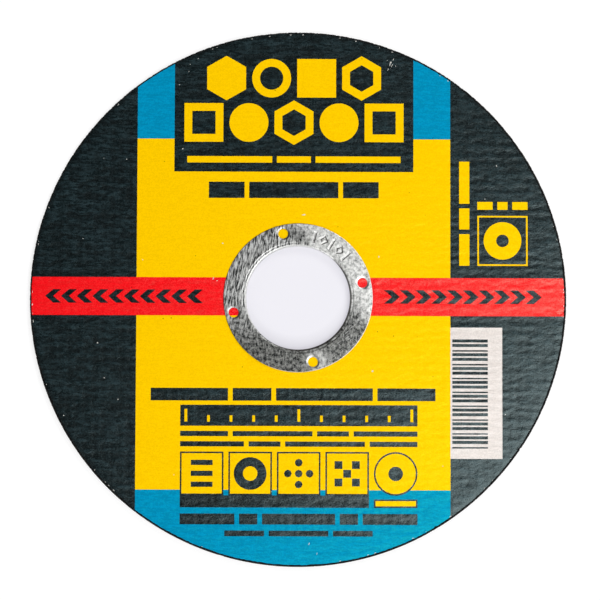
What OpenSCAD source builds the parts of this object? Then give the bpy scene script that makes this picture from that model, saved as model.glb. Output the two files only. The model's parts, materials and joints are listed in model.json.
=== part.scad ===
// Flat cut-off wheel for an angle grinder: a thin disc of bonded abrasive between two glass cloths, with a printed
// paper label on its front and a pressed steel ring in its bore. It lies on its back, with the bore along Z, the
// printed face up and the print's top towards +Y. The origin is on the bore's axis, in the plane of the back.

/* [Wheel] */
// Outside diameter of the wheel
wheel_d = 115; // [110:1:125]
// Thickness at the yarns, from the back to the face of the paper label
wheel_t = 1.2; // [1:0.1:3]
// Width of bare abrasive between the label's edge and the rim
label_margin = 0.35; // [0.1:0.05:1]
// Thickness of the label's paper
paper_t = 0.1; // [0.05:0.01:0.2]
// Thickness of the print on the paper
ink_t = 0.03; // [0.02:0.01:0.06]

/* [Glass cloth] */
// Distance from one weft yarn to the next
yarn_pitch = 2.04; // [1.8:0.02:4]
// Width of a yarn's flat crest
yarn_w = 0.8; // [0.4:0.05:1]
// Width of the slope on each side of a crest
yarn_flank = 0.3; // [0.1:0.05:0.4]
// Height that a yarn stands above the valleys
yarn_h = 0.06; // [0.02:0.01:0.12]
// Thickness of a pressed cloth at its yarns
cloth_t = 0.2; // [0.15:0.01:0.3]

/* [Centre ring] */
// Diameter of the bore
bore_d = 22.23; // [20:0.01:22.5]
// Width of the flange, from the bore to its edge
flange_w = 4.9; // [4.6:0.1:6.5]
// Thickness of the steel sheet
sheet_t = 0.3; // [0.2:0.05:0.4]
// Radius inside the bend from collar to flange
bend_r = 0.2; // [0.2:0.05:0.3]
// Radius of the rolled top edge of the flange
edge_r = 0.12; // [0.05:0.01:0.18]
// Height of the collar's end above the back of the wheel
collar_rise = 0.1; // [0.05:0.01:0.3]
// Gap between the collar's bend and the hole in the wheel
bore_clearance = 0.04; // [0.02:0.01:0.15]

/* [Holes and marks in the ring] */
// Distance from the flange's edge in to the middle of a flange hole
vent_inset = 1.85; // [1.5:0.05:2.2]
// Diameter of a flange hole
vent_d = 2.15; // [1.5:0.05:2.4]
// Radius of the rounded mouth of a flange hole
vent_lip = 0.24; // [0.1:0.02:0.28]
// Number of flange holes
vent_count = 4; // [3:1:6]
// Angle of the first flange hole
vent_turn = 13.2; // [5:0.1:20]
// Distance from the flange's edge in to the middle of a stamped mark
stamp_inset = 2.5; // [2.3:0.05:2.9]
// Height of a stamped mark, along the radius
stamp_h = 2.1; // [1.6:0.1:2.3]
// Width of a stamped stroke
stamp_w = 0.36; // [0.2:0.02:0.5]
// Depth of a stamped mark
stamp_depth = 0.08; // [0.03:0.01:0.12]
// Number of stamped marks
stamp_count = 5; // [1:1:6]
// Angle of the first stamped mark
stamp_from = 75; // [70:1:80]
// Angle between stamped marks
stamp_step = 8.4; // [7:0.1:9]

/* [Print fields] */
// Shift of the print to the right of the bore
print_dx = -1; // [-2:0.05:2]
// Shift of the print upwards from the bore
print_dy = 0.25; // [-1:0.05:1]
// Width of the black field on each side of the yellow column
side_w = 23.5; // [20:0.1:26]
// Height of the red band
band_h = 8.2; // [5:0.1:10]
// Height of the blue foot, from the label's edge
foot_h = 15.75; // [14:0.05:17]
// Height of the blue shoulders, from the label's edge
shoulder_h = 23.1; // [18:0.1:28]
// Width of a blue shoulder, beside the black panel
shoulder_w = 7.95; // [6:0.05:10]
// Height of the black panel, from the label's edge
panel_h = 30.2; // [29.5:0.1:31]
// Width of the white patch beside the column
patch_w = 11.1; // [9:0.1:12]
// Distance from the red band down to the white patch
patch_drop = 2.45; // [1:0.05:3]
// Distance from the blue foot up to the white patch
patch_rise = 6.75; // [4:0.05:9]

/* [Print marks] */
// Distance from the column's edges in to the row of framed marks
block_inset = 8.3; // [7.5:0.1:9.5]
// Gap between framed marks
frame_gap = 1.05; // [0.8:0.05:1.4]
// Shift of the marks below the ring from the middle of the column
block_dx = 1.25; // [-2:0.05:2]
// Width of a printed outline
line_w = 0.35; // [0.2:0.05:0.5]
// Height of the black scale bar
scale_h = 4.5; // [3:0.1:4.8]
// Width of a tick in the scale bar
tick_w = 0.6; // [0.3:0.05:0.8]
// Number of steps along the scale bar
tick_steps = 10; // [5:5:25]
// Height of a steel section drawn in the top panel
section_h = 8.4; // [6:0.1:8.6]
// Thickness of the walls of a steel section
section_wall = 1.7; // [1:0.1:2.2]
// Height of the black line under the panel
title_h = 3.5; // [2:0.1:4]
// Height of the black line over the scale bar
heading_h = 2.7; // [2:0.1:3]
// Height of the chevrons on the red band
chevron_h = 2.9; // [2:0.1:4]
// Number of chevrons on each side of the ring
chevron_count = 10; // [4:1:11]
// Side of the outlined mark right of the column
side_mark_s = 10.8; // [8:0.1:11]
// Number of stripes on the white patch
stripe_count = 24; // [8:1:28]

/* [Hidden] */
$fn = 96;
over = 1;

// Wheel
wheel_r = wheel_d / 2;
label_r = wheel_r - label_margin;
label_z = wheel_t - paper_t;
core_top = label_z - cloth_t;

// Ring
bore_r = bore_d / 2;
flange_r = bore_r + flange_w;
bend_x = bore_r + sheet_t + bend_r;
hole_r = bend_x + bore_clearance;
flange_z = wheel_t + ink_t;
flange_top = flange_z + sheet_t;
bend_z = flange_z - bend_r;
stamp_diamond_w = 1.9;

// Print fields, measured from the print's own centre
column_x = label_r - side_w;
panel_x = column_x - shoulder_w;
panel_y = label_r - panel_h;
shoulder_y = label_r - shoulder_h;
foot_y = label_r - foot_h;
band_y = band_h / 2;
patch_top = -band_y - patch_drop;
patch_foot = patch_rise - foot_y;
patch_h = patch_top - patch_foot;

// Shapes in the top panel, and the black line under it
section_inset = 2.1;
section_pitch = (2 * (panel_x - section_inset) - section_h) / 4;
section_rise = 10.65;
section_row_pitch = 9.65;
rule_inset = 2.75;
rule_rise = 1.95;
rule_h = 1.4;
title_gap = 2.2;
title_w = 36.5;

// Marks on and above the blue foot, from the frames upwards and downwards
block_w = 2 * (column_x - block_inset);
block_left = block_dx - block_w / 2;
frame_s = (block_w - 4 * frame_gap) / 5;
frame_pitch = frame_s + frame_gap;
frame_sink = 1.15;
frame_y = -foot_y - frame_sink;
note_gap = 1.1;
note_h = 1.1;
note_pitch = 2.2;
scale_y = frame_y + frame_s + 2 * note_gap + note_pitch + note_h;
tick_edge = 0.9;
heading_gap = 0.9;
heading_inset = 3.2;
lower_bar_h = 2.6;
plate_h = 1.8;
base_line_gap = 1.3;
base_line_h = 2.3;
foot_line_gap = 1.3;
foot_line_h = 1.2;
foot_line_w = 31.6;
dash_gap = 1;

// Marks on the band and right of the column
chevron_w = 1.7;
chevron_gap = 3.4;
chevron_edge = 3.95;
chevron_start = flange_r + chevron_gap;
chevron_run = label_r - chevron_edge - chevron_start;
side_mark_gap = 5.8;
side_mark_rise = 2.65;
side_line_gap = 1.3;
side_line_h = 1.7;
strip_gap = 1.9;
strip_w = 2.2;
strip_h = 22.5;
stripe_margin = 0.4;
stripe_end = 2.2;
stripe_w = 7.6;

// A ribbed face: the yarns' crests stand at height z, and the valleys between them lie yarn_h below it where side is
// -1, or above it where side is 1
yarns = ceil(wheel_r / yarn_pitch);
crest_x = yarn_w / 2;
foot_x = crest_x + yarn_flank;
function ribbed(z, side) = [
    for (i = [-yarns:yarns], p = [[-foot_x, side], [-crest_x, 0], [crest_x, 0], [foot_x, side]])
        [i * yarn_pitch + p[0], z + p[1] * yarn_h]
];
function level(z) = [[-wheel_d, z], [wheel_d, z]];
function reversed(points) = [for (i = [len(points) - 1:-1:0]) points[i]];
function sum_to(list, n) = n == 0 ? 0 : list[n - 1] + sum_to(list, n - 1);

// Slab between two lines drawn in the YZ plane, right across the wheel
module slab(low, high) {
    rotate([90, 0, 90])
        linear_extrude(height = wheel_d + over, center = true)
            polygon(concat(low, reversed(high)));
}

// Round sheet with the wheel's hole in it
module washer(r) {
    difference() {
        circle(r = r);
        circle(r = hole_r);
    }
}

module abrasive_disc() {
    color([0.1, 0.1, 0.1])
        translate([0, 0, cloth_t])
            linear_extrude(height = core_top - cloth_t)
                washer(wheel_r);
}

module front_cloth() {
    color([0.2, 0.2, 0.18])
        intersection() {
            slab(level(core_top), ribbed(label_z, -1));
            linear_extrude(height = wheel_t)
                washer(wheel_r);
        }
}

module back_cloth() {
    color([0.2, 0.2, 0.18])
        intersection() {
            slab(ribbed(0, 1), level(cloth_t));
            linear_extrude(height = wheel_t)
                washer(wheel_r);
        }
}

module label_sheet() {
    color([0.1, 0.13, 0.14])
        intersection() {
            slab(ribbed(label_z, -1), ribbed(wheel_t, -1));
            linear_extrude(height = wheel_t + over)
                washer(label_r);
        }
}

// The printed layer over a flat shape that is drawn from the print's own centre
module ink() {
    intersection() {
        slab(ribbed(wheel_t, -1), ribbed(wheel_t + ink_t, -1));
        linear_extrude(height = wheel_t + over)
            intersection() {
                translate([print_dx, print_dy])
                    children();
                washer(label_r);
            }
    }
}

// Rectangle between two corners
module field(x0, y0, x1, y1) {
    translate([x0, y0])
        square([x1 - x0, y1 - y0]);
}

// Line of plain dashes that starts at the origin, each as long as its share
module dashes(w, h, shares) {
    ink_w = w - dash_gap * (len(shares) - 1);
    total = sum_to(shares, len(shares));
    for (i = [0:len(shares) - 1])
        translate([ink_w * sum_to(shares, i) / total + dash_gap * i, 0])
            square([ink_w * shares[i] / total, h]);
}

// Outline of a square whose lower left corner is at the origin
module outline(s) {
    difference() {
        square(s);
        translate([line_w, line_w])
            square(s - 2 * line_w);
    }
}

// Steel sections, each in a square of side h round the origin
module bar_section(h) {
    circle(d = h);
}

module tube_section(h) {
    difference() {
        circle(d = h);
        circle(d = h - 2 * section_wall);
    }
}

module square_section(h) {
    square(h, center = true);
}

module box_section(h) {
    difference() {
        square(h, center = true);
        square(h - 2 * section_wall, center = true);
    }
}

module hexagon_section(h) {
    rotate(30)
        circle(d = h * hexagon_share, $fn = 6);
}

module hexagon_tube_section(h) {
    difference() {
        hexagon_section(h);
        hexagon_section(h - 2 * section_wall);
    }
}

// A hexagon's width over its corners, as a share of its width over its flats
hexagon_share = 2 / sqrt(3);

// Black panel at the top of the column, and the yellow shapes on it
module panel() {
    field(-panel_x, panel_y, panel_x, wheel_d);
}

module panel_shapes() {
    translate([0, panel_y + section_rise]) {
        translate([-2 * section_pitch, 0])
            box_section(section_h);
        translate([-section_pitch, 0])
            bar_section(section_h);
        hexagon_tube_section(section_h);
        translate([section_pitch, 0])
            bar_section(section_h);
        translate([2 * section_pitch, 0])
            box_section(section_h);
        translate([-1.5 * section_pitch, section_row_pitch])
            hexagon_section(section_h);
        translate([-section_pitch / 2, section_row_pitch])
            tube_section(section_h);
        translate([section_pitch / 2, section_row_pitch])
            square_section(section_h);
        translate([1.5 * section_pitch, section_row_pitch])
            hexagon_tube_section(section_h);
    }
    translate([rule_inset - panel_x, panel_y + rule_rise])
        dashes(2 * (panel_x - rule_inset), rule_h, rule_shares);
}
rule_shares = [5, 2, 5];

// Black lines of dashes on the yellow column and its blue foot
title_shares = [2, 5, 2];
heading_shares = [4, 2, 5, 3];
note_shares = [[3, 5, 2, 4], [4, 2, 5, 3]];
base_line_shares = [3, 1, 4, 1, 3];
foot_line_shares = [2, 3, 2];
module dashed_lines() {
    translate([-title_w / 2, panel_y - title_gap - title_h])
        dashes(title_w, title_h, title_shares);
    translate([heading_inset - column_x, scale_y + scale_h + heading_gap])
        dashes(2 * (column_x - heading_inset), heading_h, heading_shares);
    for (i = [0:len(note_shares) - 1])
        translate([block_left, scale_y - note_gap - note_h - i * note_pitch])
            dashes(block_w, note_h, note_shares[i]);
    translate([block_left, base_line_y])
        dashes(block_w, base_line_h, base_line_shares);
    translate([block_dx - foot_line_w / 2, base_line_y - foot_line_gap - foot_line_h])
        dashes(foot_line_w, foot_line_h, foot_line_shares);
}
lower_bar_y = frame_y - lower_bar_h;
base_line_y = lower_bar_y - base_line_gap - base_line_h;

// Black bar with the ticks of a plain scale left open
module scale_bar() {
    tick_h = scale_h - 2 * tick_edge;
    tick_pitch = (block_w - 2 * tick_edge - tick_w) / tick_steps;
    translate([block_left, scale_y])
        difference() {
            square([block_w, scale_h]);
            for (i = [0:tick_steps])
                translate([tick_edge + i * tick_pitch, tick_edge])
                    square([tick_w, i % 5 == 0 ? tick_h : tick_h / 2]);
        }
}

// Yellow ground of the frames, the round mark and the small plate, where they reach over the blue foot
module cards() {
    for (i = [0:3])
        translate([block_left + i * frame_pitch, frame_y])
            square(frame_s);
    translate([round_mark_x, frame_y + frame_s / 2])
        circle(d = frame_s);
    translate([plate_x, lower_bar_y])
        square([frame_s, plate_h]);
}
round_mark_x = block_left + 4 * frame_pitch + frame_s / 2;
plate_x = block_left + 4 * frame_pitch;

// Places the figure of one frame, the first being number 0
module in_frame(i) {
    translate([block_left + i * frame_pitch + frame_s / 2, frame_y + frame_s / 2])
        children();
}

// Four square frames that hold plain figures: layers, a ring, grains and a weave
bar_share = 0.12;
dot_share = 0.18;
check_share = 0.18;
module frames() {
    for (i = [0:3])
        translate([block_left + i * frame_pitch, frame_y])
            outline(frame_s);
    in_frame(0)
        for (k = [-1:1])
            translate([0, k * frame_s / 4])
                square([frame_s / 2, frame_s * bar_share], center = true);
    in_frame(1)
        difference() {
            circle(d = frame_s * 3 / 4);
            circle(d = frame_s / 3);
        }
    in_frame(2)
        for (kx = [-1:1], ky = [-1:1])
            if ((kx + ky) % 2 != 0 || kx == 0 && ky == 0)
                translate([kx, ky] * frame_s / 4)
                    circle(d = frame_s * dot_share, $fn = 8);
    in_frame(3)
        for (kx = [-1:1], ky = [-1:1])
            if ((kx + ky) % 2 == 0)
                translate([kx, ky] * frame_s / 5)
                    square(frame_s * check_share, center = true);
}

// Black bar under the frames, and the round mark and small plate at their end
module end_marks() {
    translate([block_left, lower_bar_y])
        square([3 * frame_pitch + frame_s, lower_bar_h]);
    translate([round_mark_x, frame_y + frame_s / 2]) {
        difference() {
            circle(d = frame_s);
            circle(d = frame_s - 2 * line_w);
        }
        circle(d = frame_s / 3);
    }
    translate([plate_x, lower_bar_y])
        difference() {
            square([frame_s, plate_h]);
            translate([line_w, line_w])
                square([frame_s - 2 * line_w, plate_h - 2 * line_w]);
        }
}

module black_marks() {
    dashed_lines();
    scale_bar();
    frames();
    end_marks();
}

// Yellow line of dashes, outlined mark and upright strip on the black side of the column
side_mark_shares = [3, 2, 3];
strip_shares = [3, 2, 4];
module side_marks() {
    translate([column_x + side_mark_gap, band_y + side_mark_rise]) {
        outline(side_mark_s);
        translate([side_mark_s / 2, side_mark_s / 2])
            difference() {
                circle(d = side_mark_s * 3 / 4);
                circle(d = side_mark_s / 4);
            }
        translate([0, side_mark_s + side_line_gap])
            dashes(side_mark_s, side_line_h, side_mark_shares);
    }
    translate([column_x + strip_gap + strip_w, band_y + side_mark_rise])
        rotate(90)
            dashes(strip_h, strip_w, strip_shares);
}

module yellow_field() {
    field(-column_x, -foot_y, column_x, shoulder_y);
}

module yellow_print() {
    color([1, 0.82, 0])
        ink() {
            difference() {
                union() {
                    yellow_field();
                    cards();
                }
                field(-column_x, -band_y, column_x, band_y);
                panel();
                black_marks();
            }
            panel_shapes();
            side_marks();
        }
}

module blue_print() {
    color([0, 0.55, 0.74])
        ink()
            difference() {
                field(-column_x, -wheel_d, column_x, wheel_d);
                yellow_field();
                cards();
                panel();
                black_marks();
            }
}

// Row of chevrons that starts at the origin
module chevrons() {
    pitch = (chevron_run - chevron_w * 2) / (chevron_count - 1);
    for (i = [0:chevron_count - 1])
        translate([i * pitch, 0])
            polygon([
                [0, -chevron_h / 2], [chevron_w, -chevron_h / 2], [chevron_w * 2, 0],
                [chevron_w, chevron_h / 2], [0, chevron_h / 2], [chevron_w, 0]
            ]);
}

module red_print() {
    color([1, 0.1, 0.13])
        ink()
            difference() {
                field(-wheel_d, -band_y, wheel_d, band_y);
                for (side = [0, 1])
                    mirror([side, 0])
                        translate([chevron_start, 0])
                            chevrons();
            }
}

// White patch with plain stripes, of widths that follow a rule, left open
stripe_parts = 3;
module white_print() {
    pitch = (patch_h - 2 * stripe_end) / stripe_count;
    color([0.92, 0.89, 0.87])
        ink()
            difference() {
                field(column_x, patch_foot, column_x + patch_w, patch_top);
                translate([column_x + stripe_margin, patch_foot + stripe_end])
                    for (i = [0:stripe_count - 1])
                        translate([0, i * pitch])
                            square([stripe_w, pitch * (1 + i * i % 3) / stripe_parts]);
            }
}

// Cut for one flange hole with a rounded mouth, on the Z axis
module vent() {
    r = vent_d / 2;
    translate([0, 0, flange_z - over])
        cylinder(r = r, h = sheet_t + 2 * over);
    rotate_extrude()
        translate([r, flange_top - vent_lip])
            difference() {
                square([vent_lip, vent_lip + over]);
                translate([vent_lip, 0])
                    circle(r = vent_lip);
            }
}

// Stamped marks by turns: a short stroke along the radius, and the outline of a small diamond
module stamps() {
    for (i = [0:stamp_count - 1])
        rotate(stamp_from - i * stamp_step)
            translate([flange_r - stamp_inset, 0, flange_top - stamp_depth])
                linear_extrude(height = sheet_t)
                    if (i % 2 == 0)
                        square([stamp_h, stamp_w], center = true);
                    else
                        difference() {
                            circle(d = stamp_diamond_w, $fn = 4);
                            circle(d = stamp_diamond_w - 2 * sqrt(2) * stamp_w, $fn = 4);
                        }
}

// Half section of the ring: collar, bend and flange with its rolled edge
module ring_section() {
    translate([bore_r, collar_rise])
        square([sheet_t, bend_z - collar_rise]);
    intersection() {
        translate([bend_x, bend_z])
            difference() {
                circle(r = bend_r + sheet_t);
                circle(r = bend_r);
            }
        translate([bore_r, bend_z])
            square([bend_x - bore_r, bend_r + sheet_t]);
    }
    translate([bend_x, flange_z])
        square([flange_r - edge_r - bend_x, sheet_t]);
    translate([flange_r - edge_r, flange_z])
        square([edge_r, sheet_t - edge_r]);
    intersection() {
        translate([flange_r - edge_r, flange_top - edge_r])
            circle(r = edge_r);
        translate([flange_r - edge_r, flange_top - edge_r])
            square(edge_r);
    }
}

module centre_ring() {
    color([0.75, 0.75, 0.74])
        difference() {
            rotate_extrude()
                ring_section();
            for (i = [0:vent_count - 1])
                rotate(vent_turn + i * 360 / vent_count)
                    translate([flange_r - vent_inset, 0])
                        vent();
            stamps();
        }
}

abrasive_disc();
front_cloth();
back_cloth();
label_sheet();
yellow_print();
blue_print();
red_print();
white_print();
centre_ring();
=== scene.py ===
"""Looks of a flat cut-off wheel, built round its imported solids, which fix every place and size.

Lengths are in millimetres until a mesh or a node takes them, and sizes come from the frame's own boxes.
"""
import json
import math

import bmesh
import bpy
import numpy as np
from mathutils import Matrix, Vector


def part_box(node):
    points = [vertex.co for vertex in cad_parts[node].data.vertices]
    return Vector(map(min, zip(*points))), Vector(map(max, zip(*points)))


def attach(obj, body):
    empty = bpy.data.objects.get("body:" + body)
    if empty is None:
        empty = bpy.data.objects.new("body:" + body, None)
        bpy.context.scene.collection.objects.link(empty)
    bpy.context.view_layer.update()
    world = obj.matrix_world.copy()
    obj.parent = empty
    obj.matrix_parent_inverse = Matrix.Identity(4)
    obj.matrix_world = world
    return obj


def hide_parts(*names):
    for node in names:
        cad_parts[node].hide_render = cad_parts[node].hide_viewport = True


MM = 0.001
BODY = "root"

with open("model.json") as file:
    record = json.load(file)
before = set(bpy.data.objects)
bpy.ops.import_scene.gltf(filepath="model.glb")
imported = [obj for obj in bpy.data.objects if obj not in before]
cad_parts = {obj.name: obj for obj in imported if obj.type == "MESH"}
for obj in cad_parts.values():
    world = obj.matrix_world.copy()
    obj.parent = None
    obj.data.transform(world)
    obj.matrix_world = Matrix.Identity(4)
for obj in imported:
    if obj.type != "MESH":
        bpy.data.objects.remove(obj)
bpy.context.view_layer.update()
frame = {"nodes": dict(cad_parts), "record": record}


def corner(node, end):
    """Lowest (end 0) or highest (end 1) corner of a node, in millimetres."""
    return [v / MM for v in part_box(node)[end]]


bore = next(m for m in frame["record"]["mounts"] if m["name"] == "arbor_bore")
BORE_R = bore["dims"]["r_mm"]
BORE_LENGTH = bore["dims"]["length_mm"]
WHEEL_R = corner("abrasive_disc", 1)[0]
LABEL_R = corner("label_sheet", 1)[0]
RING_R = corner("centre_ring", 1)[0]
RING_LOW, RING_TOP = corner("centre_ring", 0)[2], corner("centre_ring", 1)[2]
DISC_LOW, DISC_TOP = corner("abrasive_disc", 0)[2], corner("abrasive_disc", 1)[2]
CLOTH_TOP = corner("front_cloth", 1)[2]
LABEL_TOP = corner("label_sheet", 1)[2]
INK_TOP = corner("yellow_print", 1)[2]
SHEET_T = RING_TOP - INK_TOP
BEND_R = RING_TOP - RING_LOW - BORE_LENGTH
# Hole through the disc and its layers, a small clearance outside the ring's bend
BEND_CLEARANCE = 0.04
HOLE_R = BORE_R + BEND_R + BEND_CLEARANCE

# Glass cloth: distances between weft yarns (up the wheel) and between warp yarns (across it)
WEFT, WARP = 2.04, 1.85
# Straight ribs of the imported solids: half of a rib's crest, its flank and its height
RIB_CREST, RIB_FLANK, RIB_H = 0.4, 0.3, 0.06
# Height of the label's relief, from its crests down to where weave gives -1
RELIEF = 0.075


# Noise

NOISE_CELLS = 256
# Where the wheel's axis lies in the noise, in cells
NOISE_AT = (128.37, 128.71)


def ramp(x, low, high):
    """0 below low, 1 above high, and a smooth step between them."""
    t = np.clip((np.asarray(x, dtype=float) - low) / (high - low), 0, 1)
    return t * t * (3 - 2 * t)


def noise(x, y, size, seed):
    """Smooth noise from -1 to 1, in bumps of about the given size, which may differ along x and y."""
    size_x, size_y = size if isinstance(size, tuple) else (size, size)
    n = NOISE_CELLS
    values = np.random.default_rng(seed).uniform(-1, 1, (n, n))
    u, v = np.asarray(x) / size_x + NOISE_AT[0], np.asarray(y) / size_y + NOISE_AT[1]
    i, j = np.floor(u).astype(int), np.floor(v).astype(int)
    fu, fv = ramp(u - i, 0, 1), ramp(v - j, 0, 1)
    a, b = values[i % n, j % n], values[(i + 1) % n, j % n]
    c, d = values[i % n, (j + 1) % n], values[(i + 1) % n, (j + 1) % n]
    return (a * (1 - fu) + b * fu) * (1 - fv) + (c * (1 - fu) + d * fu) * fv


def noise_along(way, size, seed):
    """Noise along a line."""
    return noise(way, 0 * way, size, seed)


# Meshes


def full_turn(steps):
    """Angles of a full turn in equal steps."""
    return np.arange(steps) * 2 * math.pi / steps


def lattice(low, high, step):
    """Whole multiples of step from low to high, so that all layers on the label bend along the same lines."""
    return np.arange(math.floor(low / step), math.ceil(high / step) + 1) * step


def mesh_object(name, points, faces):
    """Object from points in millimetres."""
    mesh = bpy.data.meshes.new(name)
    mesh.from_pydata((np.asarray(points, dtype=float) * MM).tolist(), [], faces)
    mesh.update()
    piece = bpy.data.objects.new(name, mesh)
    bpy.context.scene.collection.objects.link(piece)
    return piece


def grid_slab(name, x, y, face, other, up=True):
    """Closed slab over the grid of x and y.

    face gives the heights of the side that looks up, or down where up is false. other gives those of the side
    behind it, as a function too or as one height.
    """
    gx, gy = np.meshgrid(x, y, indexing="ij")
    n, m = gx.shape
    index = np.arange(n * m).reshape(n, m)
    points = [np.stack([gx, gy, face(gx, gy)], -1).reshape(-1, 3)]
    cells = np.stack([index[:-1, :-1], index[1:, :-1], index[1:, 1:], index[:-1, 1:]], -1).reshape(-1, 4)
    loop = np.concatenate([index[:, 0], index[-1, 1:], index[-2::-1, -1], index[0, -2:0:-1]])
    if callable(other):
        points.append(np.stack([gx, gy, other(gx, gy)], -1).reshape(-1, 3))
        behind = loop + n * m
        back = (cells[:, ::-1] + n * m).tolist()
    else:
        flat_loop = points[0][loop].copy()
        flat_loop[:, 2] = other
        points.append(flat_loop)
        behind = np.arange(len(loop)) + n * m
        back = [behind[::-1].tolist()]
    walls = np.stack([loop, behind, np.roll(behind, -1), np.roll(loop, -1)], -1).tolist()
    faces = cells.tolist() + walls + back
    if not up:
        faces = [corners[::-1] for corners in faces]
    return mesh_object(name, np.concatenate(points), faces)


def turned(name, rows, angle):
    """Closed ring through rows of (radius, height), the last joined to the first.

    A radius or a height is one number or an array over the angles.
    """
    points = [np.stack([r * np.cos(angle), r * np.sin(angle), z + 0 * angle], -1) for r, z in rows]
    index = np.arange(len(rows) * len(angle)).reshape(len(rows), len(angle))
    ahead, next_row = np.roll(index, -1, axis=1), np.roll(index, -1, axis=0)
    both = np.roll(next_row, -1, axis=1)
    faces = np.stack([index, ahead, both, next_row], -1).reshape(-1, 4).tolist()
    return mesh_object(name, np.concatenate(points), faces)


def upright_prism(x, y, low, high, first=0):
    """Points and faces of a closed prism over an anticlockwise outline, its points numbered from first."""
    n = len(x)
    points = np.concatenate([np.stack([x, y, z + 0 * x], -1) for z in (low, high)]).tolist()
    base, top = [first + k for k in range(n)], [first + n + k for k in range(n)]
    faces = [base[::-1], top]
    faces += [[base[k], base[(k + 1) % n], top[(k + 1) % n], top[k]] for k in range(n)]
    return points, faces


def boolean(piece, other, how):
    """Keeps in piece its difference from other, or what they share, and deletes other."""
    step = piece.modifiers.new("cut", "BOOLEAN")
    step.operation, step.solver, step.object = how, "MANIFOLD", other
    graph = bpy.context.evaluated_depsgraph_get()
    cut = bpy.data.meshes.new_from_object(piece.evaluated_get(graph))
    piece.modifiers.clear()
    old, piece.data = piece.data, cut
    cut.name = piece.name
    bpy.data.meshes.remove(old)
    bpy.data.objects.remove(other)


def weld(mesh):
    """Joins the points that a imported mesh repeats."""
    work = bmesh.new()
    work.from_mesh(mesh)
    bmesh.ops.remove_doubles(work, verts=work.verts, dist=0.0005 * MM)
    work.to_mesh(mesh)
    work.free()
    mesh.update()


def dress(piece, finish, slot, *nodes, sharp_degrees=40):
    """Gives a piece its shading, material and body, and hides the nodes that it stands for. slot is not used.
    """
    piece.data.shade_smooth()
    piece.data.set_sharp_from_angle(angle=math.radians(sharp_degrees))
    piece.data.materials.clear()
    piece.data.materials.append(finish)
    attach(piece, BODY)
    if nodes:
        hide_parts(*nodes)


# Material kit


def linear(r, g, b):
    """Linear colour of an sRGB colour from 0 to 255."""
    shares = [v / 255 for v in (r, g, b)]
    return tuple(v / 12.92 if v <= 0.04045 else ((v + 0.055) / 1.055) ** 2.4 for v in shares) + (1,)


def times(colour, factor):
    """Colour made darker by a factor."""
    return tuple(v * factor for v in colour[:3]) + (1,)


class Nodes:
    """Node tree of a material or of the world, built by short calls."""

    def __init__(self, owner):
        owner.use_nodes = True
        self.data = owner
        self.tree = owner.node_tree

    def node(self, kind, inputs=None, **props):
        made = self.tree.nodes.new(kind)
        for key, value in props.items():
            setattr(made, key, value)
        for key, value in (inputs or {}).items():
            self.feed(made.inputs[key], value)
        return made

    def feed(self, socket, value):
        if isinstance(value, bpy.types.NodeSocket):
            self.tree.links.new(value, socket)
        else:
            socket.default_value = value

    def math(self, operation, a, b=0.0, clamp=False):
        return self.node("ShaderNodeMath", {0: a, 1: b}, operation=operation, use_clamp=clamp).outputs[0]

    def vector_math(self, operation, a, b, output="Value"):
        return self.node("ShaderNodeVectorMath", {0: a, 1: b}, operation=operation).outputs[output]

    def weighted(self, *parts):
        """Sum of values, each times its weight."""
        products = [self.math("MULTIPLY", value, weight) for value, weight in parts]
        total = products[0]
        for product in products[1:]:
            total = self.math("ADD", total, product)
        return total

    def span(self, value, low, high, to_low=0.0, to_high=1.0):
        """Maps value from low..high to to_low..to_high, and holds it at both ends."""
        made = self.node(
            "ShaderNodeMapRange",
            {"Value": value, "From Min": low, "From Max": high, "To Min": to_low, "To Max": to_high},
        )
        return made.outputs["Result"]

    def axes(self, vector):
        """The three parts of a vector."""
        return self.node("ShaderNodeSeparateXYZ", {"Vector": vector}).outputs

    def seen(self):
        """1 for what the camera sees, directly, in gloss or through glass, and 0 for what only lights."""
        rays = self.node("ShaderNodeLightPath").outputs
        indirect = self.math("ADD", rays["Is Glossy Ray"], rays["Is Transmission Ray"])
        return self.math("ADD", rays["Is Camera Ray"], indirect, clamp=True)


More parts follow.
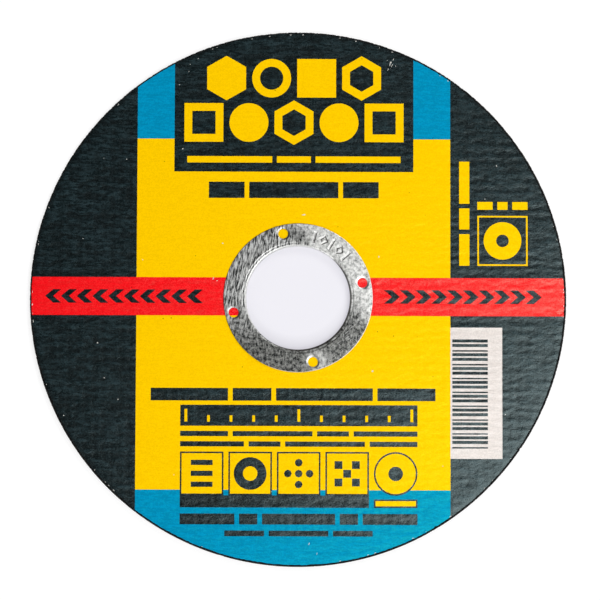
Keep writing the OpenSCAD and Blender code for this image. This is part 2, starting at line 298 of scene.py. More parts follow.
class Material(Nodes):
    """Material with textures on object coordinates. Sizes and places are in millimetres, turns in degrees."""

    def __init__(self, name, **surface):
        super().__init__(bpy.data.materials.new(name))
        self.shader = self.tree.nodes["Principled BSDF"]
        self.place = self.node("ShaderNodeTexCoord").outputs["Object"]
        self.set(**surface)

    def set(self, **inputs):
        for key, value in inputs.items():
            self.feed(self.shader.inputs[key.replace("_", " ")], value)

    def noise(self, size, detail=3.0, rough=0.55):
        made = self.node(
            "ShaderNodeTexNoise",
            {"Vector": self.place, "Scale": 1 / (size * MM), "Detail": detail, "Roughness": rough},
        )
        return made.outputs["Fac"]

    def streaks(self, across, along, turn, detail=3.0):
        """Noise drawn out along the direction that is turned from +Y by the given angle."""
        rotated = self.node(
            "ShaderNodeVectorRotate",
            {"Vector": self.place, "Angle": math.radians(-turn)},
            rotation_type="Z_AXIS",
        ).outputs[0]
        per_streak = (1 / (across * MM), 1 / (along * MM), 1 / (across * MM))
        scaled = self.vector_math("MULTIPLY", rotated, per_streak, "Vector")
        made = self.node(
            "ShaderNodeTexNoise",
            {"Vector": scaled, "Scale": 1.0, "Detail": detail, "Roughness": 0.6},
        )
        return made.outputs["Fac"]

    def cells(self, size, vector=None):
        """Distance from the middle of each of many small cells, and a number from 0 to 1 for each cell."""
        place = self.place if vector is None else vector
        made = self.node("ShaderNodeTexVoronoi", {"Vector": place, "Scale": 1 / (size * MM)})
        pick = self.node("ShaderNodeSeparateColor", {"Color": made.outputs["Color"]}).outputs[0]
        return made.outputs["Distance"], pick

    def specks(self, spacing, radius_share, share, shift=(0, 0, 0)):
        """1 on small round specks and 0 between them; share is the part of the cells that hold a speck."""
        moved = self.node("ShaderNodeMapping", {"Vector": self.place, "Location": [v * MM for v in shift]})
        away, pick = self.cells(spacing, moved.outputs["Vector"])
        inside = self.span(away, radius_share, radius_share * 0.6)
        return self.math("MULTIPLY", inside, self.math("LESS_THAN", pick, share))

    def near(self, place, outer, inner, most=1.0):
        """most within the inner distance of a place, 0 beyond the outer one, and a slope between them."""
        away = self.vector_math("DISTANCE", self.place, [v * MM for v in place])
        return self.span(away, outer * MM, inner * MM, 0, most)

    def mix(self, factor, a, b):
        return self.node("ShaderNodeMix", {0: factor, 6: a, 7: b}, data_type="RGBA").outputs[2]

    def bump(self, height, distance, strength=1.0):
        """Adds a bump to those that the shader already has."""
        made = self.node(
            "ShaderNodeBump",
            {"Height": height, "Distance": distance * MM, "Strength": strength},
        )
        normal = self.shader.inputs["Normal"]
        if normal.links:
            self.feed(made.inputs["Normal"], normal.links[0].from_socket)
        self.feed(normal, made.outputs["Normal"])


# Materials

RUBBED_PAPER = linear(206, 208, 204)
GRAIN_GLINT = linear(196, 190, 180)
BACK_GLINT = linear(176, 170, 158)
# Height that the worn places of the steel are measured from
WORN_Z = 1.5


def paper(name, dark, pale, pit, tint, dark_share, light_share):
    """Print on pressed paper: creases along the weft, fibre grain, pin-holes and a few pale rubbed specks.

    The ink strays from dark to pale along the creases, partly painted shade, pit is how much of it is painted
    nearly black as shade in the deepest pits, and tint colours its gloss.
    """
    m = Material(name, Specular_IOR_Level=0.75, Specular_Tint=tint + (1,))
    grain = m.noise(0.33, 3.0, 0.65)
    fibre = m.streaks(0.22, 1.3, 83, 3.0)
    wrinkle = m.streaks(0.38, 0.7, 87, 2.0)
    dimple = m.noise(0.5, 2.0, 0.6)
    # Painted shade along the creases, mixed with uneven ink, sets the ink from dark to pale
    crease_shade = m.streaks(0.32, 1.8, 88, 2.5)
    tone = m.weighted((crease_shade, 0.7), (grain, 0.3))
    base = m.mix(m.span(tone, 0.44, 0.565), dark, pale)
    # Painted shade: the ink is painted nearly black in the deepest pits of the relief
    height = m.axes(m.place)[2]
    sunk = m.span(height, (LABEL_TOP - 0.25 * RELIEF) * MM, (LABEL_TOP - 0.8 * RELIEF) * MM, 0, pit)
    base = m.mix(sunk, base, times(dark, 0.2))
    pin_holes = m.specks(1.7, 0.1, dark_share)
    base = m.mix(m.math("MULTIPLY", pin_holes, 0.75), base, times(dark, 0.16))
    rubbed = m.specks(2.6, 0.07, light_share, (3, 5, 0))
    base = m.mix(m.math("MULTIPLY", rubbed, 0.5), base, RUBBED_PAPER)
    m.set(Base_Color=base, Roughness=m.span(grain, 0.3, 0.7, 0.22, 0.32))
    m.bump(wrinkle, 0.024)
    m.bump(dimple, 0.02)
    m.bump(fibre, 0.011, 0.8)
    m.bump(grain, 0.012, 0.8)
    return m.data


def grit(name, dark, pale, size, shine):
    """Bonded abrasive: packed angular grains in dark resin, with a few glints."""
    m = Material(name, Specular_IOR_Level=0.12)
    away, pick = m.cells(size)
    fine = m.noise(size * 0.35, 4.0, 0.7)
    base = m.mix(m.span(pick, 0.45, 1.0), dark, pale)
    base = m.mix(m.math("MULTIPLY", m.span(pick, 0.93, 0.96), shine), base, GRAIN_GLINT)
    base = m.mix(m.span(fine, 0.45, 0.75, 0, 0.4), base, times(dark, 0.5))
    m.set(Base_Color=base, Roughness=m.span(pick, 0.0, 1.0, 0.85, 0.45))
    m.bump(m.math("SUBTRACT", fine, away), 0.05, 0.8)
    return m.data


def bare_cloth(name):
    """Bare glass cloth soaked in resin: brownish grey yarns both ways, with black grit between them."""
    m = Material(name, Specular_IOR_Level=0.4)
    x, y, _ = m.axes(m.place)

    def crest(v, pitch):
        wave = m.math("COSINE", m.math("MULTIPLY", v, 2 * math.pi / (pitch * MM)))
        return m.span(wave, -0.15, 0.55)

    weft, warp = crest(y, WEFT), crest(x, WARP)
    yarn = m.math("MAXIMUM", weft, warp)
    along = m.mix(weft, m.streaks(0.1, 1.4, 0), m.streaks(0.1, 1.4, 90))
    strand = m.node("ShaderNodeRGBToBW", {"Color": along}).outputs[0]
    soak = m.noise(6.0)
    _, pick = m.cells(0.3)
    grain = m.mix(m.span(pick, 0.3, 1.0), linear(20, 19, 19), linear(64, 61, 58))
    grain = m.mix(m.math("MULTIPLY", m.span(pick, 0.97, 0.98), 0.6), grain, BACK_GLINT)
    glass = m.mix(m.span(strand, 0.3, 0.7), linear(52, 47, 40), linear(112, 102, 86))
    glass = m.mix(m.span(soak, 0.42, 0.62), glass, linear(44, 41, 38))
    m.set(Base_Color=m.mix(yarn, grain, glass), Roughness=m.span(yarn, 0, 1, 0.75, 0.42))
    m.bump(m.math("MULTIPLY", pick, m.span(yarn, 0, 1, 1, 0)), 0.03, 0.6)
    m.bump(strand, 0.02, 0.7)
    return m.data


def tinned_steel(name):
    """Worn tinned sheet, brushed up and down, with a painted highlight on one side and painted shade low down.
    """
    m = Material(name, Metallic=0.4, Specular_IOR_Level=0.5)
    x, y, _ = m.axes(m.place)
    brushed = m.streaks(0.24, 2.0, -9, 5.0)
    hair = m.streaks(0.07, 2.6, 4, 2.0)
    mottle = m.noise(0.75, 6.0, 0.68)
    patches = m.math("SUBTRACT", m.noise(3.4), 0.5)

    # Painted highlight on the right and upper right, and a rubbed, shining smear by the lowest hole
    side = m.weighted((x, 0.86), (y, 0.62), (patches, 12 * MM))
    smear = m.near((4.2, -13.4, WORN_Z), 3.4, 1.2, 0.55)
    rubbed_and_highlight = m.math("MAXIMUM", m.span(side, 7.5 * MM, 12 * MM), smear)
    # Darker towards the bottom and in a patch at the top: mottled and tarnished where the tin is gone, partly
    # painted shade
    foot = m.weighted((y, 1), (x, -0.15))
    patch = m.near((0.4, 13.8, WORN_Z), 3.6, 1.0, 0.6)
    tarnish_and_shade = m.math("MAXIMUM", m.span(foot, -1 * MM, -8.5 * MM), patch)

    worn = m.weighted((brushed, m.span(tarnish_and_shade, 0, 1, 0.8, 0.3)), (mottle, m.span(tarnish_and_shade, 0, 1, 0.2, 0.7)))
    plain = m.mix(m.span(worn, 0.445, 0.565), linear(22, 25, 24), linear(224, 225, 223))
    # Dark mottle of tarnished steel, which also serves as painted shade low down
    tarnish_and_shade_tone = m.mix(m.span(mottle, 0.42, 0.63), linear(24, 27, 26), linear(134, 135, 130))
    plain = m.mix(m.span(tarnish_and_shade, 0, 1, 0, 0.9), plain, tarnish_and_shade_tone)
    # Near-white where the steel is rubbed and where the highlight is painted
    rubbed = m.mix(m.span(mottle, 0.36, 0.58), linear(154, 155, 152), linear(247, 247, 244))
    base = m.mix(rubbed_and_highlight, plain, rubbed)

    # Fine scratches: along the brushing, and crossing each other at the lower right
    base = m.mix(m.span(hair, 0.63, 0.7, 0, 0.7), base, linear(244, 244, 242))
    base = m.mix(m.span(hair, 0.38, 0.31, 0, 0.6), base, linear(30, 32, 31))
    crossed = m.math("MAXIMUM", m.streaks(0.09, 2.4, -52, 1.0), m.streaks(0.08, 2.0, 28, 1.0))
    scratched = m.near((10.5, -9, WORN_Z), 5.5, 3)
    base = m.mix(m.math("MULTIPLY", m.span(crossed, 0.67, 0.73), scratched), base, linear(236, 236, 234))

    # Painted highlight on slopes that face the lower right, and painted shade on those that face away
    facing = m.node("ShaderNodeNewGeometry").outputs["Normal"]
    slope = m.vector_math("DOT_PRODUCT", facing, (0.8, -0.6, 0))
    base = m.mix(m.span(slope, 0.1, 0.35, 0, 0.85), base, linear(250, 250, 248))
    base = m.mix(m.span(slope, -0.07, -0.25, 0, 0.9), base, linear(44, 40, 36))
    m.set(Base_Color=base, Roughness=m.span(mottle, 0.3, 0.7, 0.25, 0.4))
    m.bump(brushed, 0.02, 0.6)
    m.bump(mottle, 0.012, 0.5)
    return m.data


# Label and print

# How far the grids of the label and the back, and those of the print, reach past what they are cut to
FACE_MARGIN, INK_MARGIN = 0.5, 0.3
LABEL_CELLS = (0.46, 0.26)
# How far the label's face sinks at its edge, and the width of the band that does
EDGE_SINK, EDGE_BAND = 0.03, 0.9
# How much further the label reaches at the upper left, and where that is, in degrees
LABEL_REACH, LABEL_REACH_TURN = 0.14, 125
# Least gap from the frayed edge to its circle, and nicks in it: turn in degrees, width and depth
FRAY_GAP = 0.035
NICKS = [
    (15.5, 0.9, 0.2), (17.2, 0.5, 0.14), (64, 0.5, 0.12), (128, 0.7, 0.15), (171, 0.4, 0.12),
    (203, 0.8, 0.16), (246, 0.5, 0.13), (301, 0.6, 0.15), (338, 0.45, 0.12),
]
# The print in the render: share of its solid's thickness that stands on the label, and its depth in it
INK_SHARE, INK_SINK = 0.9, 0.006
# Heights between which the upright shapes stand that cut the label and its print
BOUND_LOW, INK_BOUND_LOW, BOUND_TOP = 0.0, 0.5, 3.0

edge_angle = full_turn(2200)


def weave(x, y):
    """Height of the cloth pressed under the label: 0 at the crests and about -1 in the deepest pits.

    The yarns wander and cross over each other by turns, and the paper sinks between them unevenly.
    """
    rows = (y + 0.34 * noise(x, y, (7, 4), 1) + 0.16 * noise(x, y, (2.3, 1.7), 2)) / WEFT
    columns = (x + 0.3 * noise(x, y, (4, 9), 3) + 0.12 * noise(x, y, (1.6, 2.2), 6)) / WARP
    weft, warp = (0.5 + 0.5 * np.cos(2 * math.pi * v) for v in (rows, columns))
    over = 0.5 + 0.5 * np.cos(math.pi * columns + math.pi * np.round(rows))
    yarn = np.maximum(weft * (0.5 + 0.5 * over), warp * (0.8 - 0.5 * over))
    depth = (1 - yarn) * (0.5 + 0.4 * noise(x, y, (3.4, 2.1), 4))
    depth += 0.26 * (1 + noise(x, y, (1.7, 0.8), 5)) + 0.1 * (1 + noise(x, y, (0.8, 0.55), 7))
    return -np.clip(depth - 0.1, 0, 1.2)


def label_top(x, y):
    """Height of the label's face, which also sinks a little at its edge."""
    sink = EDGE_SINK * ramp(np.hypot(x, y), LABEL_R - EDGE_BAND, LABEL_R)
    return LABEL_TOP + RELIEF * weave(x, y) - sink


def ragged_edge(angle):
    """How far the label's edge falls short of its circle, over the angles: fine fray and small nicks."""
    around = angle * LABEL_R
    fray = 0.05 + 0.07 * noise_along(around, 0.5, 11) + 0.03 * noise_along(around, 2.3, 12)
    nicks = np.zeros_like(angle)
    for degrees, width, depth in NICKS:
        gap = np.abs((angle - math.radians(degrees) + math.pi) % (2 * math.pi) - math.pi) * LABEL_R
        nicks = np.maximum(nicks, depth * ramp(gap, width / 2, width / 6))
    return FRAY_GAP + np.clip(fray, 0, 1) + nicks


def label_bound():
    """Upright ring that the label and its print are cut to."""
    reach = LABEL_REACH * np.clip(np.cos(edge_angle - math.radians(LABEL_REACH_TURN)), 0, 1)
    outer = LABEL_R + reach - ragged_edge(edge_angle)
    rows = [(HOLE_R, BOUND_LOW), (outer, BOUND_LOW), (outer, BOUND_TOP), (HOLE_R, BOUND_TOP)]
    return turned("label_bound", rows, edge_angle)


def make_label(finish):
    reach = WHEEL_R + FACE_MARGIN
    x, y = (lattice(-reach, reach, step) for step in LABEL_CELLS)
    piece = grid_slab("label", x, y, label_top, CLOTH_TOP)
    boolean(piece, label_bound(), "INTERSECT")
    dress(piece, finish, "black_print", "label_sheet", sharp_degrees=30)


def print_bound(node):
    """Upright copy of a print node: the points of its face are raised and those of its underside sunk."""
    piece = frame["nodes"][node].copy()
    piece.data = piece.data.copy()
    piece.name = "print_bound"
    bpy.context.scene.collection.objects.link(piece)
    weld(piece.data)
    for vertex in piece.data.vertices:
        _, y, z = vertex.co / MM
        off_yarn = abs(y - WEFT * round(y / WEFT))
        sunk = RIB_H * min(max((off_yarn - RIB_CREST) / RIB_FLANK, 0), 1)
        on_face = z > (LABEL_TOP + INK_TOP) / 2 - sunk
        vertex.co.z = (BOUND_TOP if on_face else INK_BOUND_LOW) * MM
    return piece


def make_print(node, finish):
    """Printed layer of one colour: the node's outline, trimmed by the label's edge and laid on its relief."""
    low, high = corner(node, 0), corner(node, 1)
    x, y = (lattice(low[i] - INK_MARGIN, high[i] + INK_MARGIN, LABEL_CELLS[i]) for i in (0, 1))
    layer = grid_slab(
        node.replace("_print", "_ink"),
        x,
        y,
        lambda x, y: label_top(x, y) + (INK_TOP - LABEL_TOP) * INK_SHARE,
        lambda x, y: label_top(x, y) - INK_SINK,
    )
    bound = print_bound(node)
    boolean(bound, label_bound(), "INTERSECT")
    boolean(layer, bound, "INTERSECT")
    dress(layer, finish, node, node, sharp_degrees=30)


# Abrasive body and cloths

# Grains that break the rim: their size round it and up it, and how deep they bite into the body and the back
RIM_GRAIN = (0.24, 0.2)
RIM_BITE, BACK_BITE = 0.13, 0.09
CHIP_SIZE, CHIP_DEPTH = 1.4, 0.15
# Rows of the front cloth's face, by their distance in from its edge
CLOTH_INSETS = (0.06, 0.16, 0.28, 0.42, 0.6, 0.9)
# How far below the cloth's top its face lies at the bore, at the rim and between them, and its grit's depth
CLOTH_BORE_DROP, CLOTH_RIM_DROP, CLOTH_DROP, CLOTH_GRIT = 0.05, 0.03, 0.012, 0.03
# Bare back: height of its crests, of the valleys between its yarns, of the grit in them, and of its waves
BACK_CREST, BACK_VALLEY, BACK_GRIT, BACK_WAVE = 0.004, 0.055, 0.012, 0.003
BACK_CELL = 0.37
# Half the height of the upright ring that the back is cut to
BACK_BOUND = 1.0

rim_angle = full_turn(2400)
rim_around = rim_angle * WHEEL_R


def rim(height, seed, bite):
    """Radius of the rough rim at one height."""
    grain = noise(rim_around, 0 * rim_around + height, RIM_GRAIN, seed)
    chips = ramp(noise_along(rim_around, CHIP_SIZE, seed + 1), 0.55, 0.9)
    return WHEEL_R - bite * ramp(grain, -0.4, 1) - CHIP_DEPTH * chips


def make_body(finish):
    rows = [(HOLE_R, DISC_TOP), (HOLE_R, DISC_LOW)]
    rows += [(rim(z, 21, RIM_BITE), z) for z in np.linspace(DISC_LOW, DISC_TOP, 7)]
    piece = turned("abrasive_body", rows, rim_angle)
    dress(piece, finish, "abrasive", "abrasive_disc", sharp_degrees=60)


def make_front_cloth(finish):
    edge = rim(CLOTH_TOP, 31, RIM_BITE)
    rows = [(HOLE_R, CLOTH_TOP - CLOTH_BORE_DROP), (HOLE_R, DISC_TOP)]
    rows += [(rim(z, 31, RIM_BITE), z) for z in np.linspace(DISC_TOP, CLOTH_TOP - CLOTH_RIM_DROP, 3)]
    for inset in CLOTH_INSETS:
        r = edge - inset
        grain = noise(r * np.cos(rim_angle), r * np.sin(rim_angle), 0.25, 33)
        rows.append((r, CLOTH_TOP - CLOTH_DROP - CLOTH_GRIT * (0.5 + 0.5 * grain)))
    piece = turned("front_cloth_edge", rows, rim_angle)
    dress(piece, finish, "glass_cloth", "front_cloth", sharp_degrees=60)


def back_face(x, y):
    """Height of the bare back, from the yarns' crests up into the valleys between them."""
    weft = 0.5 + 0.5 * np.cos(2 * math.pi * y / WEFT)
    warp = 0.5 + 0.5 * np.cos(2 * math.pi * x / WARP)
    over = 0.5 + 0.5 * np.cos(math.pi * x / WARP + math.pi * np.round(y / WEFT))
    yarn = np.maximum(weft * (0.55 + 0.45 * over), warp * (1 - 0.45 * over))
    valley = 1 - ramp(yarn, 0.15, 0.85)
    grain = noise(x, y, 0.42, 41)
    wave = 1 + noise(x, y, 3, 42)
    return BACK_CREST + BACK_VALLEY * valley + BACK_GRIT * valley * grain + BACK_WAVE * wave


def make_back_cloth(finish):
    reach = WHEEL_R + FACE_MARGIN
    line = lattice(-reach, reach, BACK_CELL)
    piece = grid_slab("back_cloth_weave", line, line, back_face, DISC_LOW, up=False)
    outer = rim(0, 51, BACK_BITE)
    rows = [(HOLE_R, -BACK_BOUND), (outer, -BACK_BOUND), (outer, BACK_BOUND), (HOLE_R, BACK_BOUND)]
    boolean(piece, turned("back_bound", rows, rim_angle), "INTERSECT")
    dress(piece, finish, "glass_cloth", "back_cloth")


# Centre ring

# Holes: how many, the first one's turn in degrees, their radius and their middles' distance from the axis
VENTS, VENT_TURN, VENT_R, VENT_AT = 4, 13.2, 1.075, RING_R - 1.85
VENT_STEPS = 72
# Heights between which a hole is cut
VENT_LOW, VENT_TOP = 0.9, 2.0
# Dished mouth of a hole: its radius, its depth and how far its flat bottom ends inside the hole's wall
DISH_R, DISH_DEPTH, DISH_LIP = 1.56, 0.13, 0.15
# Stamped marks: how many, the first one's turn and the step between them in degrees, and how far out they are
MARKS, MARK_FROM, MARK_STEP, MARK_AT = 5, 75.0, 8.4, RING_R - 2.5
MARK_DEPTH = 0.16
# Half lengths of a stroke and of a diamond, and where their soft edges end and begin
STROKE, STROKE_EDGE = 0.9, (0.34, 0.14)
DIAMOND, DIAMOND_EDGE = 0.76, (0.4, 0.16)
# Drop of the domed flange at its edge and the power of its curve, and the height of its waves
DOME, DOME_POWER, WAVE = 0.12, 1.7, 0.004
# Coined step at the bend: its depth, its distance from the axis and half its width
COIN, COIN_AT, COIN_HALF = 0.05, BORE_R + 0.85, 0.1
# Rolled edge of the flange, and the chamfers of the collar's end and of the flange's underside
EDGE_R, COLLAR_CHAMFER, FLANGE_CHAMFER = 0.12, 0.04, 0.03
FLANGE_ROWS = 44
# Steps round the ring in degrees: plain, over a hole with half its span, and over the marks
PLAIN_STEP, VENT_STEP, VENT_SPAN, MARK_FINE = 1.0, 0.42, 7.5, 0.2


def ring_angles():
    """Angles round the ring, closer together over the holes and the stamped marks."""
    fine = [(MARK_FROM - MARKS * MARK_STEP + 3, MARK_FROM + 5, MARK_FINE)]
    for i in range(VENTS):
        middle = VENT_TURN + 360 / VENTS * i
        fine.append((middle - VENT_SPAN, middle + VENT_SPAN, VENT_STEP))
    angles, a = [], 0.0
    while a < 359.9:
        angles.append(a)
        here = [step for low, high, step in fine if any(low <= a + turn <= high for turn in (0, -360, 360))]
        a += min(here, default=PLAIN_STEP)
    return np.radians(angles)


def vents():
    """Middles of the holes."""
    turns = [math.radians(VENT_TURN + i * 360 / VENTS) for i in range(VENTS)]
    return [(VENT_AT * math.cos(a), VENT_AT * math.sin(a)) for a in turns]


def stamped(x, y):
    """Depth of the stamped marks, strokes and diamonds by turns, from 0 to 1."""
    depth = np.zeros_like(x)
    for i in range(MARKS):
        a = math.radians(MARK_FROM - i * MARK_STEP)
        u = x * math.cos(a) + y * math.sin(a) - MARK_AT
        v = -x * math.sin(a) + y * math.cos(a)
        if i % 2 == 0:
            mark = ramp(np.maximum(np.abs(u) - STROKE, np.abs(v)), *STROKE_EDGE)
        else:
            mark = ramp(np.abs(np.abs(u) + np.abs(v) - DIAMOND), *DIAMOND_EDGE)
        depth = np.maximum(depth, mark)
    return depth


def flange_rise(r, angle):
    """Height of the flange's face against the ring's top: domed, coined, dished, stamped and wavy."""
    x, y = r * np.cos(angle), r * np.sin(angle)
    flat_from = BORE_R + BEND_R
    dome = -DOME * np.clip((r - flat_from) / (RING_R - flat_from), 0, 1) ** DOME_POWER
    coin = COIN * ramp(r, COIN_AT + COIN_HALF, COIN_AT - COIN_HALF)
    wave = WAVE * (noise(x, y, 2.6, 61) - 1)
    dish = np.zeros_like(x)
    for vent_x, vent_y in vents():
        away = np.hypot(x - vent_x, y - vent_y)
        dish = np.maximum(dish, 1 - ramp(away, VENT_R - DISH_LIP, DISH_R))
    return dome - coin + wave - DISH_DEPTH * dish - MARK_DEPTH * stamped(x, y)


def make_ring(finish):
    """Ring turned from a closed half section: up the bore, over bend and flange, and back underneath."""
    angle = ring_angles()
    bend_x, bend_z = BORE_R + BEND_R, RING_TOP - BEND_R
    inner_bend = BEND_R - SHEET_T
    collar_middle = (RING_LOW + bend_z) / 2
    edge_x = RING_R - EDGE_R
    edge_z = RING_TOP + flange_rise(np.array([edge_x]), np.array([0.0]))[0] - EDGE_R
    quarter = math.pi / 2

    rows = [(BORE_R + COLLAR_CHAMFER, RING_LOW), (BORE_R, RING_LOW + COLLAR_CHAMFER)]
    rows += [(BORE_R, collar_middle), (BORE_R, bend_z)]
    for t in np.linspace(0.17, quarter - 0.17, 8):
        rows.append((bend_x - BEND_R * math.cos(t), bend_z + (BEND_R - COIN) * math.sin(t)))
    for r in np.linspace(bend_x, edge_x, FLANGE_ROWS):
        rows.append((r, RING_TOP + flange_rise(r + 0 * angle, angle)))
    for t in np.linspace(0.35, quarter, 4):
        rows.append((edge_x + EDGE_R * math.sin(t), edge_z + EDGE_R * math.cos(t)))
    rows += [(RING_R, INK_TOP + FLANGE_CHAMFER), (RING_R - FLANGE_CHAMFER, INK_TOP)]
    rows += [(VENT_AT, INK_TOP), (bend_x, INK_TOP)]
    for t in np.linspace(0.4, quarter, 4):
        rows.append((bend_x - inner_bend * math.sin(t), bend_z + inner_bend * math.cos(t)))
    rows += [(BORE_R + SHEET_T, collar_middle), (BORE_R + SHEET_T, RING_LOW)]
    piece = turned("steel_ring", rows, angle)

    around = full_turn(VENT_STEPS)
    for vent_x, vent_y in vents():
        x, y = vent_x + VENT_R * np.cos(around), vent_y + VENT_R * np.sin(around)
        boolean(piece, mesh_object("hole", *upright_prism(x, y, VENT_LOW, VENT_TOP)), "DIFFERENCE")
    dress(piece, finish, "ring_steel", "centre_ring")


# Small marks of wear, where paper is laid bare

# Place of each mark, then its length, width and turn in degrees
WEAR = [
    (-42.9, -9.8, 0.34, 0.24, 20), (-41.4, -17.3, 0.26, 0.2, 70), (-38.4, -21.9, 0.3, 0.2, 40),
    (-50.0, -25.4, 0.24, 0.2, 0), (-24.9, 32.1, 0.4, 0.22, 30), (19.9, 51.0, 0.4, 0.26, 60),
    (1.2, 17.9, 1.1, 0.3, 8), (-16.2, 11.7, 0.34, 0.26, 45), (17.3, 8.9, 0.4, 0.3, 120),
    (16.0, -15.7, 0.5, 0.34, 60), (-18.2, 4.1, 0.6, 0.2, 65), (-17.4, 3.6, 0.4, 0.16, 20),
    (2.5, -52.6, 0.7, 0.16, 70), (4.2, -54.7, 0.6, 0.14, 80), (31.0, -36.0, 0.24, 0.18, 15),
    (40.1, 21.4, 0.24, 0.18, 75), (19.7, 50.7, 1.3, 0.16, 84), (20.1, 50.3, 1.0, 0.12, 70),
    (20.4, 51.6, 0.5, 0.12, 60), (19.2, 49.4, 0.6, 0.12, 50), (20.9, 50.2, 0.3, 0.1, 120),
    (19.1, 51.4, 0.25, 0.1, 30), (42.6, 28.6, 0.5, 0.2, 100), (-33.4, 8.1, 0.26, 0.18, 33),
    (-23.7, 48.9, 0.24, 0.16, 80), (-23.4, 50.5, 0.2, 0.12, 100), (-21.7, 51.7, 0.24, 0.14, 20),
    (-25.7, 46.0, 0.2, 0.14, 60), (-46.2, 12.6, 0.22, 0.18, 12), (-37.0, 29.8, 0.22, 0.16, 52),
    (44.4, -24.9, 0.26, 0.2, 28),
]
# Marks at the frayed edge of the label: how many, and their distance in from its circle
FRAYED, FRAYED_INSET = 44, 0.2
WEAR_CORNERS = 9
# How far a mark reaches below and above the label's face
WEAR_SINK, WEAR_RISE = 0.005, 0.04


def make_wear(finish):
    rng = np.random.default_rng(7)
    marks = list(WEAR)
    for turn in rng.uniform(0, 360, FRAYED):
        a, r = math.radians(turn), LABEL_R - FRAYED_INSET
        length, width = rng.uniform(0.15, 0.55), rng.uniform(0.1, 0.18)
        marks.append((r * math.cos(a), r * math.sin(a), length, width, turn + 90))
    around = full_turn(WEAR_CORNERS)
    points, faces = [], []
    for x, y, length, width, turn in marks:
        wobble = rng.uniform(0.65, 1.15, WEAR_CORNERS)
        u, v = length / 2 * wobble * np.cos(around), width / 2 * wobble * np.sin(around)
        a = math.radians(turn)
        px, py = x + u * math.cos(a) - v * math.sin(a), y + u * math.sin(a) + v * math.cos(a)
        face = label_top(px, py)
        mark_points, mark_faces = upright_prism(px, py, face - WEAR_SINK, face + WEAR_RISE, len(points))
        points += mark_points
        faces += mark_faces
    piece = mesh_object("rubbed_specks", points, faces)
    dress(piece, finish, "white_print")


# Stage

FLOOR_REACH = 30000
# Light of the floor and the horizon as the camera, gloss and glass see it. Lamps make the near floor white
PALE = (0.78, 0.78, 0.78, 1)
# The floor's glow in the bore, cooler and painted darker: in its painted shadow and at its lightest
BORE_PAINTED_SHADOW, BORE_BRIGHT = (0.47, 0.46, 0.51, 1), (0.6, 0.59, 0.645, 1)
# Light from all round, and the sines of the rises between which the band along the horizon fades
SKY, SKY_STRENGTH = (0.96, 0.98, 1, 1), 0.04
BAND_TOP, BAND_FULL = 0.17, 0.1
# Lamps: direction and rise in degrees, distance and size in metres, and brightness
LAMPS = {
    "sheen": (-37, 60, 0.4, 0.33, 0.59),
    "key": (60, 36, 0.9, 0.4, 0.33),
    "fill": (-120, 32, 1.0, 0.6, 0.17),
    "back_fill": (165, 28, 1.2, 0.8, 0.1),
}


def white_floor(name):
    """Floor the camera sees as white where no shadow lies, and in the bore cooler, with painted shade to the
    lower right.
    """
    m = Material(name, Roughness=0.9, Specular_IOR_Level=0.1, Base_Color=(0.25, 0.25, 0.25, 1))
    # Painted shadow in the bore, deepest towards its lower right edge
    painted_light_in_bore = m.near((-0.6, 2.6, 0), 1.24 * BORE_R, 0.94 * BORE_R)
    inside = m.near((0, 0, 0), 1.2 * BORE_R, 1.1 * BORE_R)
    glow = m.mix(inside, PALE, m.mix(painted_light_in_bore, BORE_PAINTED_SHADOW, BORE_BRIGHT))
    m.set(Emission_Color=glow, Emission_Strength=m.seen())
    return m.data


def make_floor():
    corners = [(x * FLOOR_REACH, y * FLOOR_REACH, 0) for x, y in ((-1, -1), (1, -1), (1, 1), (-1, 1))]
    floor = mesh_object("floor", corners, [[0, 1, 2, 3]])
    floor.data.materials.append(white_floor("white_floor"))


def make_world():
    """Dim light from all round, and a pale band along the horizon for what the camera, gloss and glass see."""
    w = Nodes(bpy.data.worlds.new("studio"))
    dim = w.tree.nodes["Background"]
    w.feed(dim.inputs["Color"], SKY)
    w.feed(dim.inputs["Strength"], SKY_STRENGTH)
    pale = w.node("ShaderNodeBackground", {"Color": PALE, "Strength": 1.0})
    rise = w.axes(w.node("ShaderNodeTexCoord").outputs["Generated"])[2]
    band = w.math("MULTIPLY", w.seen(), w.span(rise, BAND_TOP, BAND_FULL))
    both = w.node("ShaderNodeMixShader", {0: band, 1: dim.outputs[0], 2: pale.outputs[0]})
    w.feed(w.tree.nodes["World Output"].inputs["Surface"], both.outputs[0])
    bpy.context.scene.world = w.data


def area_light(name, azimuth, elevation, distance, size, share):
    """Soft round lamp that looks at the origin. share is the brightness it gives to a white face there."""
    a, e = math.radians(azimuth), math.radians(elevation)
    data = bpy.data.lights.new(name, "AREA")
    data.shape, data.size = "DISK", size
    data.energy = share * math.pi ** 2 * distance ** 2 / math.sin(e)
    light = bpy.data.objects.new(name, data)
    bpy.context.scene.collection.objects.link(light)
    light.location = Vector((math.cos(a) * math.cos(e), math.sin(a) * math.cos(e), math.sin(e))) * distance
    light.rotation_euler = light.location.to_track_quat("Z", "Y").to_euler()
    light.visible_camera = False


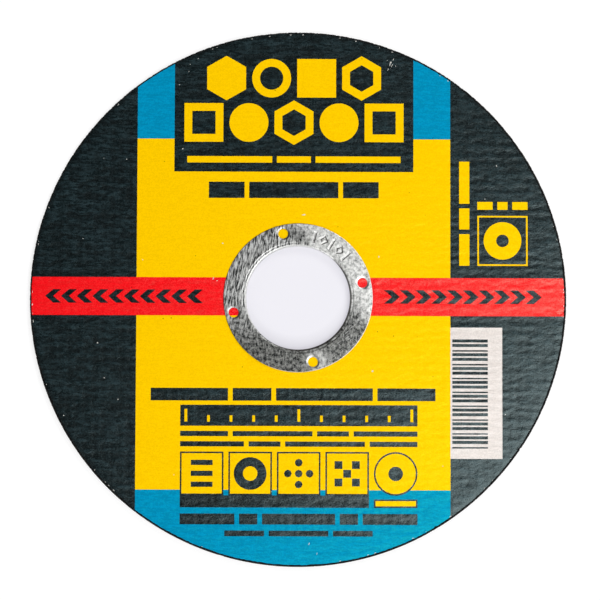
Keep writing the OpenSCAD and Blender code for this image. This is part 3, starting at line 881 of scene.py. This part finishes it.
def make_camera():
    """Camera of the photograph: a long lens almost straight above, a little towards the print's foot."""
    tilt, roll = math.radians(4.75), math.radians(0.185)
    distance, view_width, sensor = 665.0, 128.6, 36
    aim = Vector((0.417, -0.481, INK_TOP)) * MM
    data = bpy.data.cameras.new("camera")
    data.sensor_width = sensor
    data.lens = sensor * distance / view_width
    camera = bpy.data.objects.new("camera", data)
    bpy.context.scene.collection.objects.link(camera)
    back = Vector((0, -math.sin(tilt), math.cos(tilt)))
    right = Vector((1, 0, 0))
    rolled = Matrix.Rotation(roll, 3, back)
    axes = Matrix((rolled @ right, rolled @ back.cross(right), back)).transposed()
    camera.matrix_world = Matrix.Translation(aim + back * distance * MM) @ axes.to_4x4()
    bpy.context.scene.camera = camera


# The whole scene

# Inks as paper takes them: dark and pale colour, painted pit shade, gloss tint, shares of pin-holes and rubbed
# specks
BLACK_LABEL = (linear(0, 11, 14), linear(32, 47, 51), 0.8, (0.78, 1, 1.02), 0.0, 0.07)
BARE_PAPER = (linear(202, 201, 195), linear(222, 221, 215), 0.0, (1, 1, 1), 0.0, 0.0)
INKS = {
    "yellow": (linear(250, 198, 0), linear(255, 203, 0), 0.02, (1, 0.9, 0.04), 0.05, 0.03),
    "blue": (linear(2, 132, 175), linear(2, 145, 191), 0.05, (0.03, 0.8, 0.35), 0.02, 0.04),
    "red": (linear(240, 0, 15), linear(252, 1, 20), 0.05, (0.75, 1.15, 0.9), 0.02, 0.05),
    "white": (linear(216, 208, 202), linear(225, 216, 210), 0.03, (1, 1, 1), 0.05, 0.0),
}

make_camera()
make_floor()
make_world()
for lamp, settings in LAMPS.items():
    area_light(lamp, *settings)
bpy.context.scene.view_settings.view_transform = "Standard"

make_label(paper("black_label", *BLACK_LABEL))
for ink, settings in INKS.items():
    make_print(ink + "_print", paper(ink + "_ink", *settings))
make_wear(paper("bare_paper", *BARE_PAPER))
make_body(grit("abrasive", linear(10, 10, 11), linear(46, 44, 42), 0.26, 0.4))
make_front_cloth(grit("front_edge", linear(3, 3, 3), linear(17, 16, 16), 0.22, 0.05))
make_back_cloth(bare_cloth("glass_cloth"))
make_ring(tinned_steel("tinned_steel"))
